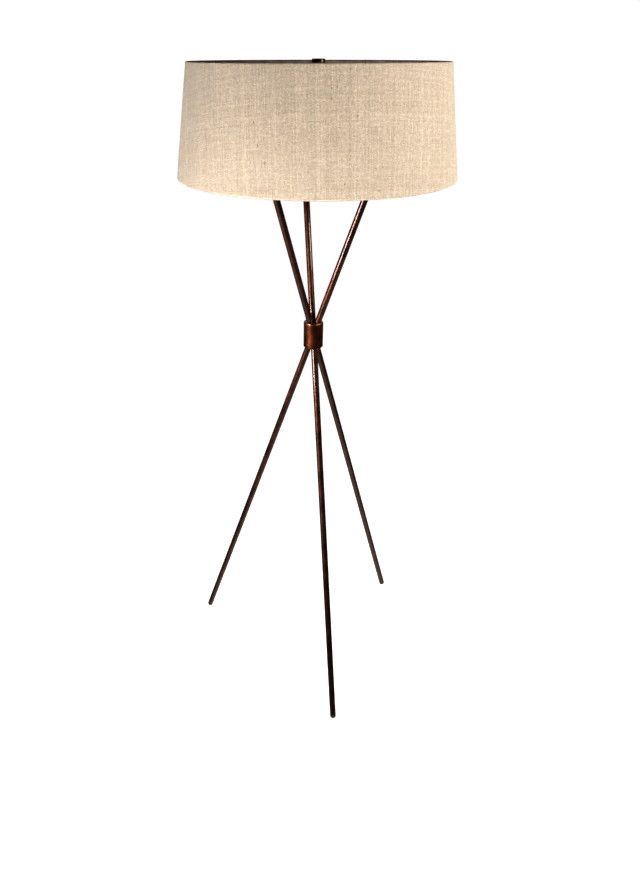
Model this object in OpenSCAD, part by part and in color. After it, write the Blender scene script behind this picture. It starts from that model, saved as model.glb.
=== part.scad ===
// Tripod floor lamp with a crossed-rod stand and a tapered drum shade.
// Millimetres, +Z up. Origin: on the floor, on the lamp's upright axis.
// One foot points towards -Y. Three straight lines run from the feet through
// the hub's centre and on to the head inside the shade.

/* [Stand] */
// Height of the hub's centre above the floor
hub_height = 969; // [860:1:1060]
// Radius of the circle that the three feet stand on
foot_circle_r = 334.5; // [300:0.5:370]
// Outer diameter of the legs and upper rods
rod_d = 15.8; // [14:0.1:16]
// Wall thickness of the legs and upper rods
rod_wall = 1.5; // [1:0.1:2]
// Height of the flat worn onto each foot's dome
foot_flat = 0.5; // [0.3:0.05:0.8]
// Length of the foot glide's visible band
glide_band = 4; // [2:0.5:10]
// Length of the glide's spigot inside the leg
glide_spigot = 14; // [8:1:25]

/* [Hub] */
// Diameter of the turned hub
hub_d = 48; // [44:0.1:50]
// Height of the turned hub
hub_h = 65.4; // [58:0.1:68]
// Rounded shoulder at the hub's top edge
hub_shoulder = 3; // [2:0.1:3.5]
// Chamfer at the hub's bottom edge
hub_chamfer = 2.4; // [1:0.1:3.5]
// Distance from the hub's centre to each rod's seat
rod_seat = 29; // [27.5:0.1:29]
// Outer diameter of the threaded joining nipples
nipple_d = 10; // [9.6:0.1:10]
// Bore of the joining nipples, for the lead
nipple_bore = 7; // [6.4:0.1:7.2]
// Distance from the hub's centre to a nipple's inner end
nipple_in = 19; // [18.5:0.1:20]
// Distance from the hub's centre to a nipple's outer end
nipple_out = 46; // [40:1:60]
// Length of the threaded bush in each rod end
bush_len = 20; // [14:1:30]

/* [Cord outlet] */
// Height of the outlet above the floor
outlet_height = 70; // [50:1:140]
// Turn of the outlet round its leg
outlet_turn = 225; // [180:1:270]
// Bore of the outlet bushing
outlet_bore_d = 6.6; // [5:0.1:7]
// Diameter of the outlet bushing's flange
outlet_flange_d = 11; // [10:0.1:12]
// Diameter of the lead inside the stand
lead_d = 4.6; // [4:0.1:5.2]

/* [Head] */
// Height of the three horizontal arms above the floor
arm_height = 1352; // [1348:1:1356]
// Outer diameter of the arms
arm_d = 10; // [9:0.1:10]
// Wall thickness of the arms
arm_wall = 1.5; // [1:0.1:2]
// Diameter of the ball elbow on each upper rod
elbow_d = 26; // [25:0.5:30]
// Diameter of the wiring hub
head_d = 46; // [42:0.5:50]
// Wall thickness of the wiring hub
head_wall = 4; // [3:0.5:4.5]

/* [Socket and bulb] */
// Outer diameter of the lamp socket
socket_d = 34; // [33:0.5:36]
// Height of the socket from the saddle to its rim
socket_h = 55; // [52:0.5:57]
// Largest diameter of the bulb
bulb_d = 60; // [56:0.5:62]
// Length of the bulb from its contact to its crown
bulb_len = 108; // [104:0.5:110]
// Diameter of the switch knob
knob_d = 13; // [10:0.5:16]
// Length of the switch knob
knob_len = 14; // [10:0.5:18]

/* [Harp] */
// Distance between the harp's two upright ends
harp_foot_w = 64; // [58:1:70]
// Diameter of the harp wire
harp_wire_d = 3.6; // [3.2:0.1:3.8]
// Outward lean of the harp's sides
harp_lean = 15; // [12:0.5:18]
// Length of the harp's straight leaning sides
harp_side = 60; // [55:1:62]
// Length of the harp's locking ferrules
ferrule_len = 16; // [12:0.5:18]
// Upward travel of each locking ferrule
ferrule_travel = 12; // [8:1:13]

/* [Shade] */
// Diameter of the shade at its bottom edge
shade_bottom_d = 610; // [590:1:620]
// Diameter of the shade at its top edge
shade_top_d = 545; // [530:1:560]
// Height of the shade's bottom edge above the floor
shade_bottom_z = 1338; // [1330:1:1345]
// Height of the shade from edge to edge
shade_h = 224.5; // [220:0.5:230]
// Thickness of the woven cover
cover_t = 1; // [0.6:0.1:1.4]
// Thickness of the stiff lining
lining_t = 0.6; // [0.4:0.1:1]
// Diameter of the two wire rings
ring_wire_d = 3.7; // [3:0.1:3.8]
// Diameter of the rolled edges over the rings
edge_roll_d = 5.4; // [5:0.1:6]
// Diameter of the spider's arms
spider_arm_d = 3.8; // [3.2:0.1:4.5]
// Width of the cover's overlapped seam
seam_w = 12; // [8:1:20]

/* [Finial] */
// Diameter of the finial
finial_d = 28.2; // [24:0.5:30]
// Height of the finial's top above the floor
finial_top_z = 1567.5; // [1560:0.5:1572]
// Length of the threaded stud above the harp's seat
stud_len = 20; // [16:0.5:22]
// Diameter of the threaded stud
stud_d = 6.3; // [6:0.1:6.4]

/* [Hidden] */

fine = 96;
coarse = 40;
fit = 0.05;
run_fit = 0.07;
body_gap = 0.3;

// Stand
lean = atan(foot_circle_r / hub_height);
dome_z = rod_d / 2 - foot_flat;
foot_s = (hub_height - dome_z) / cos(lean);
leg_end_s = foot_s - glide_band;
front_az = 270;
rear_right_az = 30;
rear_left_az = 150;
spigot_d = rod_d - 2 * rod_wall - 2 * fit;
outlet_s = (hub_height - outlet_height) / cos(lean);

// Head
elbow_s = (arm_height - hub_height) / cos(lean);
elbow_r = (arm_height - hub_height) * tan(lean);
rod_set = 8.5;
rod_top_s = elbow_s - rod_set;
head_top = arm_height + 14;
head_bottom = arm_height - 12;
saddle_t = 2;
socket_z = head_top + saddle_t;
socket_rim = socket_z + socket_h;
switch_z = socket_z + 18;
bulb_z = socket_rim - 24;

// Harp
ear_x = harp_foot_w / 2;
ear_shoulder = socket_z + 4;
ear_tip = ear_shoulder + ferrule_len / 2;
harp_start = ear_shoulder + ferrule_len + ferrule_travel + 2;
bend_r = 40;
harp_top_x = 6;
crown_r = (ear_x + bend_r * (1 - cos(harp_lean)) + harp_side * sin(harp_lean)
  - harp_top_x) / cos(harp_lean);
side_x = ear_x + bend_r * (1 - cos(harp_lean)) + harp_side * sin(harp_lean);
side_z = harp_start + bend_r * sin(harp_lean) + harp_side * cos(harp_lean);
crown_z = side_z + crown_r * sin(harp_lean);
harp_top_z = crown_z + crown_r;
seat_z = harp_top_z + 6.5;

// Shade
shade_top_z = shade_bottom_z + shade_h;
bottom_r = shade_bottom_d / 2;
top_r = shade_top_d / 2;
roll_r = edge_roll_d / 2;
taper = (bottom_r - top_r) / shade_h;
spider_z = seat_z + body_gap;
spider_t = 2.5;

function wall_r(z) = bottom_r - taper * (z - shade_bottom_z);

// Points of a circular arc, in the plane of a profile
function arc(c, r, a0, a1, n) =
  [for (i = [0:n]) let (a = a0 + (a1 - a0) * i / n) c + r * [cos(a), sin(a)]];

// Places its children on a rod's own line: +Z runs up the line from the hub
module on_line(foot_az) {
  translate([0, 0, hub_height])
    rotate([0, 0, foot_az + 180])
      rotate([0, lean, 0])
        children();
}

module tube(outer, inner, length) {
  difference() {
    cylinder(d = outer, h = length, $fn = fine);
    translate([0, 0, -1])
      cylinder(d = inner, h = length + 2, $fn = fine);
  }
}

// Sweeps a round bar along points that lie in one plane, whose normal is n
module sweep(points, n, r, sides) {
  count = len(points);
  tangent = [for (i = [0:count - 1])
    let (v = points[min(i + 1, count - 1)] - points[max(i - 1, 0)]) v / norm(v)];
  rings = [for (i = [0:count - 1])
    for (j = [0:sides - 1])
      let (a = 360 * j / sides)
        points[i] + r * (cos(a) * n + sin(a) * cross(tangent[i], n))];
  side_faces = [for (i = [0:count - 2])
    for (j = [0:sides - 1])
      for (k = [0:1])
        let (a = i * sides + j,
             b = (i + 1) * sides + j,
             c = (i + 1) * sides + (j + 1) % sides,
             d = i * sides + (j + 1) % sides)
          k == 0 ? [a, b, c] : [a, c, d]];
  first_cap = [[for (j = [0:sides - 1]) j]];
  last_cap = [[for (j = [0:sides - 1]) (count - 1) * sides + sides - 1 - j]];
  polyhedron(points = rings, faces = concat(side_faces, first_cap, last_cap));
}

// ---- Stand ----

module hub_collar() {
  h = hub_h / 2;
  r = hub_d / 2;
  profile = concat(
    [[0, -h], [r - hub_chamfer, -h], [r, -h + hub_chamfer]],
    arc([r - hub_shoulder, h - hub_shoulder], hub_shoulder, 0, 90, 8),
    [[0, h]]);
  color([0.35, 0.17, 0.09])
    difference() {
      translate([0, 0, hub_height])
        rotate_extrude($fn = fine)
          polygon(profile);
      for (az = [front_az, rear_right_az, rear_left_az])
        on_line(az) {
          translate([0, 0, -50])
            cylinder(d = nipple_d + 2 * fit, h = 100, $fn = fine);
          translate([0, 0, rod_seat])
            cylinder(d = rod_d + 2 * fit, h = 40, $fn = fine);
          translate([0, 0, -rod_seat - 40])
            cylinder(d = rod_d + 2 * fit, h = 40, $fn = fine);
        }
    }
}

module leg(foot_az, outlet) {
  color([0.2, 0.11, 0.08])
    difference() {
      on_line(foot_az)
        translate([0, 0, -leg_end_s])
          tube(rod_d, rod_d - 2 * rod_wall, leg_end_s - rod_seat);
      if (outlet)
        on_line(foot_az)
          translate([0, 0, -outlet_s])
            rotate([0, 0, outlet_turn])
              rotate([0, 90, 0])
                cylinder(d = outlet_bore_d + 2.4, h = 20, $fn = coarse);
    }
}

module leg_front() {
  leg(front_az, false);
}

module leg_rear_right() {
  leg(rear_right_az, true);
}

module leg_rear_left() {
  leg(rear_left_az, false);
}

module foot_glide(foot_az) {
  color([0.09, 0.07, 0.06])
    difference() {
      on_line(foot_az)
        translate([0, 0, -foot_s])
          difference() {
            union() {
              sphere(d = rod_d, $fn = fine);
              cylinder(d = rod_d, h = glide_band, $fn = fine);
              cylinder(d = spigot_d, h = glide_band + glide_spigot, $fn = fine);
            }
            translate([0, 0, glide_band])
              tube(rod_d + 2, spigot_d, rod_d);
          }
      translate([-500, -500, -20])
        cube([1000, 1000, 20]);
    }
}

module foot_glide_front() {
  foot_glide(front_az);
}

module foot_glide_rear_right() {
  foot_glide(rear_right_az);
}

module foot_glide_rear_left() {
  foot_glide(rear_left_az);
}

module upper_rod(foot_az) {
  color([0.2, 0.11, 0.08])
    on_line(foot_az)
      translate([0, 0, rod_seat])
        tube(rod_d, rod_d - 2 * rod_wall, rod_top_s - rod_seat);
}

module rod_back() {
  upper_rod(front_az);
}

module rod_front_left() {
  upper_rod(rear_right_az);
}

module rod_front_right() {
  upper_rod(rear_left_az);
}

module rod_end_bushes() {
  color([0.62, 0.6, 0.55])
    for (az = [front_az, rear_right_az, rear_left_az])
      on_line(az)
        for (s = [rod_seat + 0.5, -rod_seat - 0.5 - bush_len])
          translate([0, 0, s])
            tube(rod_d - 2 * rod_wall - 2 * fit, nipple_d + 2 * fit, bush_len);
}

module hub_nipples() {
  color([0.78, 0.66, 0.35])
    for (az = [front_az, rear_right_az, rear_left_az])
      on_line(az)
        for (s = [nipple_in, -nipple_out])
          translate([0, 0, s])
            tube(nipple_d, nipple_bore, nipple_out - nipple_in);
}

module cord_outlet_bushing() {
  color([0.06, 0.05, 0.05])
    on_line(rear_right_az)
      translate([0, 0, -outlet_s])
        rotate([0, 0, outlet_turn])
          difference() {
            union() {
              difference() {
                rotate([0, 90, 0])
                  cylinder(d = outlet_flange_d, h = rod_d / 2 + 2.1, $fn = fine);
                translate([0, 0, -20])
                  cylinder(d = rod_d + 2 * fit, h = 40, $fn = fine);
              }
              translate([rod_d / 2 - 2.9, 0, 0])
                rotate([0, 90, 0])
                  cylinder(d = outlet_bore_d + 2.2, h = 5, $fn = fine);
            }
            rotate([0, 90, 0])
              cylinder(d = outlet_bore_d, h = 20, $fn = fine);
          }
}

module supply_lead() {
  az = rear_right_az + 180;
  u = [cos(az), sin(az), 0];
  z = [0, 0, 1];
  n = [-sin(az), cos(az), 0];
  d = sin(lean) * u + cos(lean) * z;
  hub = hub_height * z;
  elbow = elbow_r * u + arm_height * z;
  route = concat(
    [for (s = [-outlet_s, -600, -300, 0, 200, elbow_s - 4]) hub + s * d],
    [elbow - 1.2 * u - 0.9 * z, elbow - 4 * u],
    [90 * u + arm_height * z, 24 * u + arm_height * z, 6 * u + arm_height * z],
    [1.6 * u + (arm_height + 1.2) * z, (arm_height + 5) * z],
    [(socket_z + 9) * z]);
  color([0.75, 0.72, 0.66])
    sweep(route, n, lead_d / 2, 12);
}

// ---- Head ----

module elbow(foot_az) {
  az = foot_az + 180;
  color([0.3, 0.15, 0.09])
    rotate([0, 0, az])
      translate([elbow_r, 0, arm_height])
        difference() {
          sphere(d = elbow_d, $fn = fine);
          rotate([0, lean, 0]) {
            translate([0, 0, -rod_set - 30])
              cylinder(d = rod_d + 2 * fit, h = 30, $fn = fine);
            translate([0, 0, -rod_set - 1])
              cylinder(d = 8, h = rod_set + 1, $fn = fine);
          }
          rotate([0, -90, 0])
            translate([0, 0, 3])
              cylinder(d = arm_d + 2 * fit, h = 30, $fn = fine);
          sphere(d = 10, $fn = fine);
        }
}

module elbow_back() {
  elbow(front_az);
}

module elbow_front_left() {
  elbow(rear_right_az);
}

module elbow_front_right() {
  elbow(rear_left_az);
}

module head_arm(foot_az) {
  az = foot_az + 180;
  inner_end = head_d / 2 - head_wall + 0.5;
  color([0.2, 0.11, 0.08])
    rotate([0, 0, az])
      translate([inner_end, 0, arm_height])
        rotate([0, 90, 0])
          tube(arm_d, arm_d - 2 * arm_wall, elbow_r - 3 - fit - inner_end);
}

module arm_back() {
  head_arm(front_az);
}

module arm_front_left() {
  head_arm(rear_right_az);
}

module arm_front_right() {
  head_arm(rear_left_az);
}

module wiring_hub() {
  r = head_d / 2;
  ri = r - head_wall;
  color([0.3, 0.15, 0.09])
    difference() {
      translate([0, 0, head_bottom])
        rotate_extrude($fn = fine)
          polygon([[ri, 0], [r, 0], [r, 22], [r - 4, 26], [nipple_d / 2 + fit, 26],
                   [nipple_d / 2 + fit, 22], [ri, 22]]);
      for (az = [90, 210, 330])
        rotate([0, 0, az])
          translate([0, 0, arm_height])
            rotate([0, 90, 0])
              cylinder(d = arm_d + 2 * fit, h = 40, $fn = fine);
    }
}

module wiring_hub_cap() {
  r = head_d / 2;
  ri = r - head_wall - fit;
  color([0.3, 0.15, 0.09])
    translate([0, 0, head_bottom])
      rotate_extrude($fn = fine)
        polygon([[0, -7], [4, -7], [5, -6.5], [5.5, -5], [6, -4.2], [r - 2, -3.2], [r, -1.6], [r, 0],
                 [ri, 0], [ri, 4], [ri - 2, 4], [ri - 2, 0], [0, 0]]);
}

module socket_nipple() {
  color([0.78, 0.66, 0.35])
    translate([0, 0, head_top - 10])
      tube(nipple_d, nipple_bore, 20);
}

module nipple_locknut() {
  color([0.78, 0.66, 0.35])
    translate([0, 0, head_top - 8])
      difference() {
        cylinder(d = 18, h = 3.9, $fn = 6);
        translate([0, 0, -1])
          cylinder(d = nipple_d + 2 * fit, h = 6, $fn = fine);
      }
}

module harp_saddle() {
  color([0.7, 0.58, 0.3])
    difference() {
      union() {
        translate([-ear_x, -6, head_top])
          cube([harp_foot_w, 12, saddle_t]);
        for (x = [-ear_x, ear_x])
          translate([x, 0, head_top]) {
            cylinder(d = 12, h = saddle_t, $fn = fine);
            cylinder(d = 7, h = ear_shoulder - head_top, $fn = fine);
            cylinder(d = harp_wire_d, h = ear_tip - head_top, $fn = fine);
          }
      }
      translate([0, 0, head_top - 1])
        cylinder(d = nipple_d + 2 * fit, h = saddle_t + 2, $fn = fine);
    }
}

module harp_wire() {
  half = concat(
    [[ear_x, ear_tip + 0.2], [ear_x, harp_start]],
    [for (i = [1:3]) let (a = 180 - harp_lean * i / 3)
      [ear_x + bend_r + bend_r * cos(a), harp_start + bend_r * sin(a)]],
    [for (i = [0:10]) let (a = -harp_lean + (90 + harp_lean) * i / 10)
      [harp_top_x + crown_r * cos(a), crown_z + crown_r * sin(a)]]);
  count = len(half);
  route = concat(
    [for (p = half) [p[0], 0, p[1]]],
    [for (i = [0:count - 1]) let (p = half[count - 1 - i]) [-p[0], 0, p[1]]]);
  color([0.7, 0.58, 0.3])
    sweep(route, [0, 1, 0], harp_wire_d / 2, 12);
}

module harp_top_fitting() {
  color([0.7, 0.58, 0.3])
    rotate_extrude($fn = fine)
      polygon([[0, harp_top_z - 3.5], [6.5, harp_top_z - 3.5], [7.5, harp_top_z - 2.5],
               [7.5, seat_z - 2.2], [9, seat_z - 2.2], [9, seat_z],
               [stud_d / 2, seat_z], [stud_d / 2, seat_z + stud_len - 1],
               [stud_d / 2 - 1, seat_z + stud_len], [0, seat_z + stud_len]]);
}

module harp_ferrule(x) {
  inner = harp_wire_d / 2 + run_fit;
  color([0.7, 0.58, 0.3])
    translate([x, 0, ear_shoulder + body_gap])
      rotate_extrude($fn = fine)
        polygon([[inner, 0], [4.5, 0], [4.5, ferrule_len - 4], [3.4, ferrule_len - 1],
                 [2.9, ferrule_len], [inner, ferrule_len]]);
}

module harp_ferrule_left() {
  harp_ferrule(-ear_x);
}

module harp_ferrule_right() {
  harp_ferrule(ear_x);
}

// ---- Socket, switch and bulb ----

module socket_cap() {
  r = socket_d / 2;
  color([0.72, 0.6, 0.32])
    translate([0, 0, socket_z])
      rotate_extrude($fn = fine)
        polygon([[nipple_d / 2 + fit, 0], [8, 0], [8, 4], [r - 3, 7], [r, 11], [r, 15], [r - 1, 15],
                 [r - 1, 11.4], [r - 3.6, 8.1], [nipple_d / 2 + fit, 5.2]]);
}

module socket_shell() {
  r = socket_d / 2;
  color([0.72, 0.6, 0.32])
    difference() {
      translate([0, 0, socket_z])
        rotate_extrude($fn = fine)
          polygon([[r - 1, 15.1], [r, 15.1], [r, socket_h - 3], [r + 0.8, socket_h - 2],
                   [r + 0.8, socket_h - 1], [r, socket_h], [r - 1, socket_h]]);
      translate([0, 0, switch_z + 1])
        rotate([90, 0, 0])
          cylinder(r = 2 + run_fit, h = 40, $fn = fine);
    }
}

module socket_liner() {
  r = socket_d / 2 - 1.1;
  color([0.16, 0.14, 0.12])
    translate([0, 0, switch_z + 5])
      tube(2 * r, 2 * r - 1.2, socket_rim - switch_z - 6);
}

module socket_screw_shell() {
  color([0.8, 0.8, 0.8])
    translate([0, 0, bulb_z - 5])
      tube(28.6, 27.4, 27);
}

module switch_body() {
  r = socket_d / 2 - 1.3;
  color([0.1, 0.09, 0.08])
    difference() {
      union() {
        translate([0, 0, socket_z + 12])
          cylinder(r = r, h = switch_z + 4.9 - socket_z - 12, $fn = fine);
        translate([0, 0, switch_z + 4.9])
          cylinder(r = 4, h = bulb_z - switch_z - 5, $fn = fine);
      }
      translate([0, -r + 7, switch_z + 1])
        rotate([90, 0, 0])
          cylinder(r = 2 + run_fit, h = 40, $fn = fine);
    }
}

module switch_shaft() {
  r = socket_d / 2;
  color([0.72, 0.6, 0.32])
    translate([0, -r + 7.6, switch_z + 1])
      rotate([90, 0, 0])
        cylinder(r = 2, h = 13, $fn = fine);
}

module switch_knob() {
  r = socket_d / 2;
  color([0.05, 0.05, 0.05])
    translate([0, -r - 0.8, switch_z + 1])
      rotate([90, 0, 0])
        difference() {
          rotate_extrude($fn = fine)
            polygon([[2 + 0.02, 0], [knob_d / 2 - 2, 0], [knob_d / 2 - 1.6, 3], [knob_d / 2, 5],
                     [knob_d / 2, knob_len - 1], [knob_d / 2 - 1, knob_len], [0, knob_len],
                     [0, 5], [2 + 0.02, 5]]);
          for (a = [0:30:330])
            rotate([0, 0, a])
              translate([knob_d / 2 + 0.5, 0, 4])
                cylinder(d = 2.4, h = knob_len, $fn = 16);
        }
}

module bulb_base() {
  color([0.78, 0.78, 0.78])
    translate([0, 0, bulb_z])
      rotate_extrude($fn = fine)
        polygon(concat(
          [[0, 2], [6, 2]],
          [for (i = [0:10]) [(i % 2 == 0) ? 12.5 : 13.4, 3.5 + 1.75 * i]],
          [[13.4, 23], [13.4, 25.5], [0, 25.5]]));
}

module bulb_contact() {
  color([0.1, 0.09, 0.09])
    translate([0, 0, bulb_z])
      rotate_extrude($fn = fine)
        polygon([[0, 0], [3.5, 0], [4.5, 0.8], [7, 1.95], [0, 1.95]]);
}

module bulb_glass() {
  r = bulb_d / 2;
  top = bulb_len;
  color([0.93, 0.92, 0.88])
    translate([0, 0, bulb_z])
      rotate_extrude($fn = fine)
        polygon(concat(
          [[0, 25.6], [13.2, 25.6], [13.6, 30], [14.8, 38], [17.6, 47], [21.8, 56], [25.8, 64]],
          arc([0, top - r], r, -26, 90, 22)));
}

// ---- Shade ----

module shade_cover() {
  z0 = shade_bottom_z + roll_r + ring_wire_d / 2;
  z1 = shade_top_z - roll_r - ring_wire_d / 2;
  color([0.8, 0.7, 0.58])
    rotate_extrude($fn = fine)
      polygon([[wall_r(z0) - cover_t, z0], [wall_r(z0), z0],
               [wall_r(z1), z1], [wall_r(z1) - cover_t, z1]]);
}

module shade_lining() {
  z0 = shade_bottom_z + edge_roll_d + 0.5;
  z1 = shade_top_z - edge_roll_d - 0.5;
  gap = cover_t + 0.05;
  color([0.42, 0.39, 0.35])
    rotate_extrude($fn = fine)
      polygon([[wall_r(z0) - gap - lining_t, z0], [wall_r(z0) - gap, z0],
               [wall_r(z1) - gap, z1], [wall_r(z1) - gap - lining_t, z1]]);
}

module wire_ring(r, z) {
  color([0.75, 0.75, 0.73])
    rotate_extrude($fn = fine)
      translate([r - roll_r, z])
        circle(d = ring_wire_d, $fn = coarse);
}

module shade_top_ring() {
  wire_ring(top_r, shade_top_z - roll_r);
}

module shade_bottom_ring() {
  wire_ring(bottom_r, shade_bottom_z + roll_r);
}

module rolled_edge(r, z) {
  rotate_extrude($fn = fine)
    translate([r - roll_r, z])
      difference() {
        circle(r = roll_r, $fn = coarse);
        circle(d = ring_wire_d + 0.1, $fn = coarse);
        translate([-roll_r - 1, -0.4])
          square([roll_r, 0.8]);
      }
}

module shade_top_edge() {
  color([0.76, 0.66, 0.54])
    difference() {
      rolled_edge(top_r, shade_top_z - roll_r);
      for (az = [90, 210, 330])
        rotate([0, 0, az])
          translate([top_r - edge_roll_d - 3, 0, shade_top_z - roll_r])
            rotate([0, 90, 0])
              cylinder(d = spider_arm_d + 1, h = 5, $fn = coarse);
    }
}

module shade_bottom_edge() {
  color([0.76, 0.66, 0.54])
    rolled_edge(bottom_r, shade_bottom_z + roll_r);
}

module shade_seam() {
  z0 = shade_bottom_z + edge_roll_d;
  z1 = shade_top_z - edge_roll_d;
  half = seam_w / shade_bottom_d * 180 / PI;
  color([0.76, 0.66, 0.54])
    rotate([0, 0, 90 - half])
      rotate_extrude(angle = 2 * half, $fn = fine)
        polygon([[wall_r(z0) + 0.02, z0], [wall_r(z0) + 0.7, z0],
                 [wall_r(z1) + 0.7, z1], [wall_r(z1) + 0.02, z1]]);
}

module spider_hub() {
  color([0.75, 0.75, 0.73])
    rotate_extrude($fn = fine)
      polygon([[stud_d / 2 + run_fit, spider_z], [13, spider_z], [14, spider_z + 0.8],
               [14, spider_z + spider_t], [stud_d / 2 + run_fit, spider_z + spider_t]]);
}

module spider_arm(az) {
  r0 = 11;
  z0 = spider_z + spider_t / 2;
  r1 = top_r - roll_r - ring_wire_d / 2 + 0.5;
  z1 = shade_top_z - roll_r;
  slope = atan((z1 - z0) / (r1 - r0));
  color([0.75, 0.75, 0.73])
    rotate([0, 0, az])
      translate([r0, 0, z0])
        rotate([0, 90 - slope, 0])
          cylinder(d = spider_arm_d, h = norm([r1 - r0, z1 - z0]), $fn = fine);
}

module spider_arm_back() {
  spider_arm(90);
}

module spider_arm_front_left() {
  spider_arm(210);
}

module spider_arm_front_right() {
  spider_arm(330);
}

module finial() {
  z0 = spider_z + spider_t + body_gap;
  r = finial_d / 2;
  h = finial_top_z - z0;
  inner = stud_d / 2 + run_fit;
  color([0.16, 0.09, 0.06])
    translate([0, 0, z0])
      rotate_extrude($fn = fine)
        polygon([[inner, 0], [9, 0], [9, 2.5], [7, 4], [7, 5.5], [r - 1.5, 7], [r, 8.5],
                 [r, h - 2], [r - 0.6, h - 0.6], [r - 2, h], [0, h],
                 [0, stud_len - 1.5], [inner, stud_len - 1.5]]);
}

hub_collar();
leg_front();
leg_rear_right();
leg_rear_left();
foot_glide_front();
foot_glide_rear_right();
foot_glide_rear_left();
rod_back();
rod_front_left();
rod_front_right();
rod_end_bushes();
hub_nipples();
cord_outlet_bushing();
supply_lead();
elbow_back();
elbow_front_left();
elbow_front_right();
arm_back();
arm_front_left();
arm_front_right();
wiring_hub();
wiring_hub_cap();
socket_nipple();
nipple_locknut();
harp_saddle();
harp_wire();
harp_top_fitting();
harp_ferrule_left();
harp_ferrule_right();
socket_cap();
socket_shell();
socket_liner();
socket_screw_shell();
switch_body();
switch_shaft();
switch_knob();
bulb_base();
bulb_contact();
bulb_glass();
shade_cover();
shade_lining();
shade_top_ring();
shade_bottom_ring();
shade_top_edge();
shade_bottom_edge();
shade_seam();
spider_hub();
spider_arm_back();
spider_arm_front_left();
spider_arm_front_right();
finial();
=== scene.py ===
"""Looks for the tripod floor lamp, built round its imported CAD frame. Metres, +Z up, one foot towards -Y."""

import math
from functools import partial

import bpy
import numpy as np
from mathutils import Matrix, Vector, noise


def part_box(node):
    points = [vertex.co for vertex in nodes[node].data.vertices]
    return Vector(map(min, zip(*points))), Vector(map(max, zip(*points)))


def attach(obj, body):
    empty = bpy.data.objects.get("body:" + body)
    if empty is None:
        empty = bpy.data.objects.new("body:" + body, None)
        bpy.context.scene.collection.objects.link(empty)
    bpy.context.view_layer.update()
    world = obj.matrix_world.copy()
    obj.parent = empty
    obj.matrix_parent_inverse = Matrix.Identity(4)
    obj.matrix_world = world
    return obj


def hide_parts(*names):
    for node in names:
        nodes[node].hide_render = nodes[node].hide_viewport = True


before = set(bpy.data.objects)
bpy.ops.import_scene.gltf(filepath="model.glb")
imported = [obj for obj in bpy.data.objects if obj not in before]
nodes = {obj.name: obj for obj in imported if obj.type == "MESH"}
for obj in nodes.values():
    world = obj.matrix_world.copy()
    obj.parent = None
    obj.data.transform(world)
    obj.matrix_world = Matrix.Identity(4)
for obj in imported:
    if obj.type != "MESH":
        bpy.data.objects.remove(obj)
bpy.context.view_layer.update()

# ---- Measures taken from the frame ----

TOP_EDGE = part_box("shade_top_edge")
BOTTOM_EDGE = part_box("shade_bottom_edge")
SHADE_TOP_Z = TOP_EDGE[1].z
SHADE_BOTTOM_Z = BOTTOM_EDGE[0].z
SHADE_TOP_R = TOP_EDGE[1].x
SHADE_BOTTOM_R = BOTTOM_EDGE[1].x
ROLL_R = (TOP_EDGE[1].z - TOP_EDGE[0].z) / 2
TAPER = (SHADE_BOTTOM_R - SHADE_TOP_R) / (SHADE_TOP_Z - SHADE_BOTTOM_Z)
SEAM_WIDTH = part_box("shade_seam")[1].x * 2


# ---- Camera ----

CAMERA_TURN = math.radians(-12.474)    # round the lamp, 0 looks along +Y
CAMERA_DISTANCE = 1.641                # from the lamp's axis
CAMERA_HEIGHT = 1.579
CAMERA_HEADING = math.radians(10.196)  # from +Y towards +X
CAMERA_PITCH = math.radians(-28.11)


def make_camera():
    data = bpy.data.cameras.new("camera")
    data.sensor_width = 36
    data.lens = 29.234
    data.shift_x = 0.0382
    data.shift_y = -0.0064
    data.clip_end = 200
    camera = bpy.data.objects.new("camera", data)
    bpy.context.scene.collection.objects.link(camera)
    camera.location = (
        math.sin(CAMERA_TURN) * CAMERA_DISTANCE,
        -math.cos(CAMERA_TURN) * CAMERA_DISTANCE,
        CAMERA_HEIGHT,
    )
    camera.rotation_euler = (math.pi / 2 + CAMERA_PITCH, 0, -CAMERA_HEADING)
    bpy.context.scene.camera = camera


make_camera()


# ---- Shader helpers ----

def feed(tree, socket, value):
    """Links the socket to an output socket, or sets it to a constant."""
    if isinstance(value, bpy.types.NodeSocket):
        tree.links.new(value, socket)
    else:
        socket.default_value = value


def add_node(tree, kind, inputs, output=0, **settings):
    """Adds a node, feeds its inputs and returns one of its output sockets."""
    node = tree.nodes.new("ShaderNode" + kind)
    for key, value in settings.items():
        setattr(node, key, value)
    for key, value in inputs.items():
        feed(tree, node.inputs[key], value)
    return node.outputs[output]


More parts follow.
